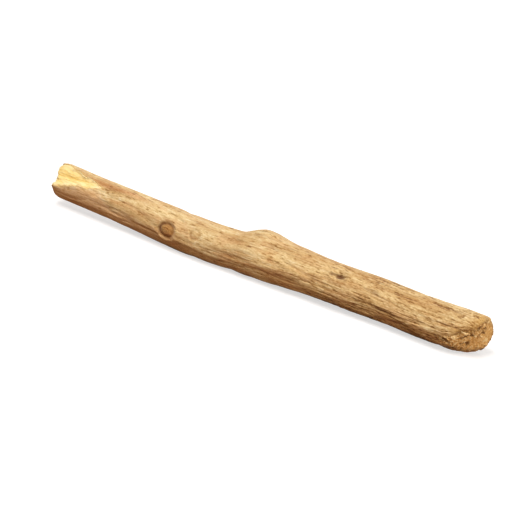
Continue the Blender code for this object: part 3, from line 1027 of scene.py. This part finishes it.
FACTOR, FIRST, SECOND, MIXED = 0, 6, 7, 2       # sockets of a Mix node that mixes colours


def colour(text):
    """A linear colour from an sRGB hex value."""
    parts = [int(text[i : i + 2], 16) / 255 for i in (1, 3, 5)]
    linear = [p / 12.92 if p <= 0.04045 else ((p + 0.055) / 1.055) ** 2.4 for p in parts]
    return (*linear, 1.0)


def add_node(tree, kind, inputs=None, stops=None, **settings):
    """Adds a node. inputs maps a socket's name or number to a value or to another socket."""
    node = tree.nodes.new("ShaderNode" + kind)
    for name, value in settings.items():
        setattr(node, name, value)
    for key, source in (inputs or {}).items():
        if isinstance(source, bpy.types.NodeSocket):
            tree.links.new(source, node.inputs[key])
        else:
            node.inputs[key].default_value = source
    if stops:
        ramp = node.color_ramp
        while len(ramp.elements) < len(stops):
            ramp.elements.new(0.5)
        for element, (place, text) in zip(ramp.elements, stops):
            element.position = place
            element.color = colour(text)
    return node


def new_material(name):
    material = bpy.data.materials.new(name)
    material.use_nodes = True
    return material, material.node_tree, material.node_tree.nodes["Principled BSDF"]


# Noises finer than the bark's mesh: length and width in mm, detail and roughness.
STREAK = (4, 0.3, 3.0, 0.6)
FLECK = (1.0, 0.15, 2.0, 0.5)
SPECK = (0.55, 0.3, 1.0, 0.5)
STAIN = (12, 3.5, 2.0, 0.5)


def dry_root_bark():
    """Thin, dry, corky bark: matt, tan on its crests, brown in its furrows and cracks, with painted shade in
    its crumbled hollows and low down towards the worn end.
    """
    material, tree, surface = new_material("dry_root_bark")
    grain = add_node(tree, "Attribute", attribute_name="grain").outputs["Vector"]
    marks = ("tone", "cork", "dark", "scar", "inner", "rubbed")
    tone, cork, dark, scar, inner, rubbed = (
        add_node(tree, "Attribute", attribute_name=mark).outputs["Fac"] for mark in marks)
    patterns = []
    for length, width, detail, roughness in (STREAK, FLECK, SPECK, STAIN):
        place = add_node(tree, "Mapping", {"Vector": grain, "Scale": (1 / length, 1 / width, 1 / width)})
        pattern = add_node(tree, "TexNoise", {"Vector": place.outputs[0], "Scale": 1.0, "Detail": detail,
                                              "Roughness": roughness})
        patterns.append(pattern.outputs["Fac"])
    streak, fleck, speck, stain = patterns
    level = tone
    for pattern, share in ((streak, 0.56), (fleck, 0.40), (speck, 0.56)):
        level = add_node(tree, "Math", {0: pattern, 1: share, 2: level}, operation="MULTIPLY_ADD").outputs[0]
    level = add_node(tree, "Math", {0: level, 1: 0.76}, operation="SUBTRACT").outputs[0]
    tan = add_node(tree, "ValToRGB", {0: level}, stops=(
        (0.0, "#8b6436"), (0.25, "#bb965f"), (0.5, "#d8b983"), (0.75, "#e5cf9f"), (1.0, "#f1e2bf")))
    pink = add_node(tree, "ValToRGB", {0: level}, stops=(
        (0.0, "#80502c"), (0.3, "#b07a49"), (0.6, "#ce9e69"), (1.0, "#e1b886")))
    stained = add_node(tree, "ValToRGB", {0: stain}, stops=(
        (0.35, "#eadccb"), (0.55, "#ffffff"), (0.7, "#fffaf0")))
    shade = tan.outputs[0]
    for share, tint, blend in (
        (cork, pink.outputs[0], "MIX"),
        (1.0, stained.outputs[0], "MULTIPLY"),
        (rubbed, colour("#f1e5c4"), "MULTIPLY"),
        (scar, colour("#e2c8a4"), "MULTIPLY"),
        # dark: brown of the cracks, scars and pits, and painted shade in the crumbled hollows
        (dark, colour("#5c3113"), "MIX"),
        (inner, colour("#e6c27c"), "MIX"),
    ):
        shade = add_node(tree, "Mix", {FACTOR: share, FIRST: shade, SECOND: tint}, data_type="RGBA",
                         blend_type=blend).outputs[MIXED]
    tree.links.new(shade, surface.inputs["Base Color"])
    surface.inputs["Roughness"].default_value = 0.82
    surface.inputs["Sheen Weight"].default_value = 0.16
    surface.inputs["Specular IOR Level"].default_value = 0.3
    relief = add_node(tree, "Math", {0: streak, 1: 1.5, 2: fleck}, operation="MULTIPLY_ADD").outputs[0]
    bump = add_node(tree, "Bump", {"Strength": 0.8, "Distance": 0.13 * MM, "Height": relief})
    tree.links.new(bump.outputs[0], surface.inputs["Normal"])
    return material


def fresh_root_wood():
    """Freshly torn root wood: pale yellow, fibrous along the grain, nearly matt."""
    material, tree, surface = new_material("fresh_root_wood")
    grain = add_node(tree, "Attribute", attribute_name="grain").outputs["Vector"]
    tone = add_node(tree, "Attribute", attribute_name="tone").outputs["Fac"]
    # Fibres 3 mm long and 0.12 mm thick.
    place = add_node(tree, "Mapping", {"Vector": grain, "Scale": (1 / 3, 1 / 0.12, 1 / 0.12)})
    pattern = add_node(tree, "TexNoise", {"Vector": place.outputs[0], "Scale": 1.0, "Detail": 2.0})
    fibre = pattern.outputs["Fac"]
    mixed = add_node(tree, "Math", {0: fibre, 1: 0.45, 2: tone}, operation="MULTIPLY_ADD")
    level = add_node(tree, "Math", {0: mixed.outputs[0], 1: 0.22}, operation="SUBTRACT")
    wood = add_node(tree, "ValToRGB", {0: level.outputs[0]}, stops=(
        (0.0, "#d6a549"), (0.3, "#eec970"), (0.6, "#fae09a"), (1.0, "#fdeebc")))
    tree.links.new(wood.outputs[0], surface.inputs["Base Color"])
    surface.inputs["Roughness"].default_value = 0.72
    bump = add_node(tree, "Bump", {"Strength": 0.5, "Distance": 0.1 * MM, "Height": fibre})
    tree.links.new(bump.outputs[0], surface.inputs["Normal"])
    return material


def worn_root_wood():
    """Wood rubbed and crumbled at the end: orange tan, granular, with painted shade in its holes."""
    material, tree, surface = new_material("worn_root_wood")
    grain = add_node(tree, "Attribute", attribute_name="grain").outputs["Vector"]
    tone = add_node(tree, "Attribute", attribute_name="tone").outputs["Fac"]
    dark = add_node(tree, "Attribute", attribute_name="dark").outputs["Fac"]
    # Grains 0.5 mm long and 0.3 mm thick.
    place = add_node(tree, "Mapping", {"Vector": grain, "Scale": (1 / 0.5, 1 / 0.3, 1 / 0.3)})
    pattern = add_node(tree, "TexNoise", {"Vector": place.outputs[0], "Scale": 1.0, "Detail": 3.0,
                                          "Roughness": 0.6})
    crumb = pattern.outputs["Fac"]
    mixed = add_node(tree, "Math", {0: crumb, 1: 0.7, 2: tone}, operation="MULTIPLY_ADD")
    level = add_node(tree, "Math", {0: mixed.outputs[0], 1: 0.35}, operation="SUBTRACT")
    wood = add_node(tree, "ValToRGB", {0: level.outputs[0]}, stops=(
        (0.0, "#9b6e36"), (0.3, "#c59757"), (0.6, "#deb371"), (1.0, "#f3daa4")))
    # Painted shade in the crevices beside the bark, from the dark mark.
    holes = add_node(tree, "Mix", {FACTOR: dark, FIRST: wood.outputs[0], SECOND: colour("#704a20")},
                     data_type="RGBA")
    tree.links.new(holes.outputs[MIXED], surface.inputs["Base Color"])
    surface.inputs["Roughness"].default_value = 0.8
    bump = add_node(tree, "Bump", {"Strength": 0.7, "Distance": 0.12 * MM, "Height": crumb})
    tree.links.new(bump.outputs[0], surface.inputs["Normal"])
    return material


def white_studio_floor():
    """A plain white studio floor, which throws only a dim, warm light back onto the root."""
    material, tree, surface = new_material("white_studio_floor")
    surface.inputs["Base Color"].default_value = (0.5, 0.5, 0.5, 1)
    surface.inputs["Roughness"].default_value = 0.9
    surface.inputs["Specular IOR Level"].default_value = 0.1
    surface.inputs["Emission Color"].default_value = (1, 1, 1, 1)
    surface.inputs["Emission Strength"].default_value = FLOOR_GLOW
    bounce = add_node(tree, "BsdfDiffuse", {"Color": colour("#8a6644")})
    seen_directly = add_node(tree, "LightPath").outputs["Is Camera Ray"]
    mixed = add_node(tree, "MixShader", {0: seen_directly, 1: bounce.outputs[0], 2: surface.outputs[0]})
    tree.links.new(mixed.outputs[0], tree.nodes["Material Output"].inputs["Surface"])
    return material


# The pieces together

def centre_on_cad(pieces):
    """Moves the pieces in x and y so that their common box has the solid's middle."""
    low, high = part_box(NODE)
    places = [places_of(piece) for piece in pieces]
    every = np.concatenate(places)
    shift = 0.5 * (np.array(low) + np.array(high) - every.min(0) - every.max(0))
    shift[2] = 0
    for piece, points in zip(pieces, places):
        piece.data.vertices.foreach_set("co", (points + shift).ravel())
        piece.data.update()


def make_root():
    draw = np.random.default_rng(SEED)
    noise.seed_set(SEED)        # without it, noise_vector differs from run to run
    bark, fresh, worn = dry_root_bark(), fresh_root_wood(), worn_root_wood()
    finishes = (
        (make_bark(), bark),
        (make_split_wood(), fresh),
        (make_worn_wood(), worn),
        (make_chips(draw), bark),
        (make_splinters(draw), fresh),
        (make_curls(draw), worn),
    )
    for piece, finish in finishes:
        piece.data.materials.append(finish)
    pieces = [piece for piece, _ in finishes]
    centre_on_cad(pieces)
    for piece in pieces:
        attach(piece, BODY)
        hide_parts(NODE)


# Floor, light and camera

FLOOR_SIZE = 6.0
FLOOR_GLOW = 0.62
SKY_LIGHT = 0.26
AIM = Vector((0.0, 0.0, 5 * MM))
AZIMUTH = math.radians(30)
ELEVATION = math.radians(21)
ROLL = math.radians(8.4)
DISTANCE = 0.42
LENS = 125

# Lights: name, place, size, power in watts and tint.
LIGHTS = (
    ("key_light", (-0.03, -0.25, 0.545), 0.34, 3.5, "#ffffff"),
    ("fill_light", (0.55, -0.14, 0.03), 0.30, 2.4, "#fff4e4"),
    ("back_light", (-0.10, 0.46, 0.34), 0.40, 1.15, "#ffffff"),
)


def make_floor():
    bpy.ops.object.select_all(action="DESELECT")
    bpy.ops.mesh.primitive_plane_add(size=FLOOR_SIZE, location=(0, 0, 0))
    floor = bpy.context.object
    floor.name = "studio_floor"
    floor.data.materials.append(white_studio_floor())


def make_lights():
    for name, place, size, power, tint in LIGHTS:
        bpy.ops.object.light_add(type="AREA", location=place)
        light = bpy.context.object
        light.name = name
        light.data.size = size
        light.data.energy = power
        light.data.color = colour(tint)[:3]
        light.rotation_euler = (AIM - Vector(place)).to_track_quat("-Z", "Y").to_euler()


def make_sky():
    """White where the camera sees it, and a dim, warm light on the root."""
    world = bpy.data.worlds.new("studio")
    bpy.context.scene.world = world
    world.use_nodes = True
    tree = world.node_tree
    background = tree.nodes["Background"]
    seen_directly = add_node(tree, "LightPath").outputs["Is Camera Ray"]
    strength = add_node(tree, "MapRange", {"Value": seen_directly, "To Min": SKY_LIGHT, "To Max": 1.0})
    tree.links.new(strength.outputs[0], background.inputs["Strength"])
    tint = add_node(tree, "Mix", {FACTOR: seen_directly, FIRST: colour("#ffe9d2"),
                                  SECOND: colour("#ffffff")}, data_type="RGBA")
    tree.links.new(tint.outputs[MIXED], background.inputs["Color"])
    bpy.context.scene.view_settings.view_transform = "Standard"


def make_camera():
    back = Vector((math.sin(AZIMUTH) * math.cos(ELEVATION), -math.cos(AZIMUTH) * math.cos(ELEVATION),
                   math.sin(ELEVATION)))
    data = bpy.data.cameras.new("camera")
    data.lens = LENS
    data.clip_start = 0.01
    camera = bpy.data.objects.new("camera", data)
    bpy.context.scene.collection.objects.link(camera)
    camera.location = AIM + back * DISTANCE
    level = (-back).to_track_quat("-Z", "Y").to_matrix()
    camera.rotation_euler = (level @ Matrix.Rotation(ROLL, 3, "Z")).to_euler()
    bpy.context.scene.camera = camera


make_root()
make_floor()
make_lights()
make_sky()
make_camera()
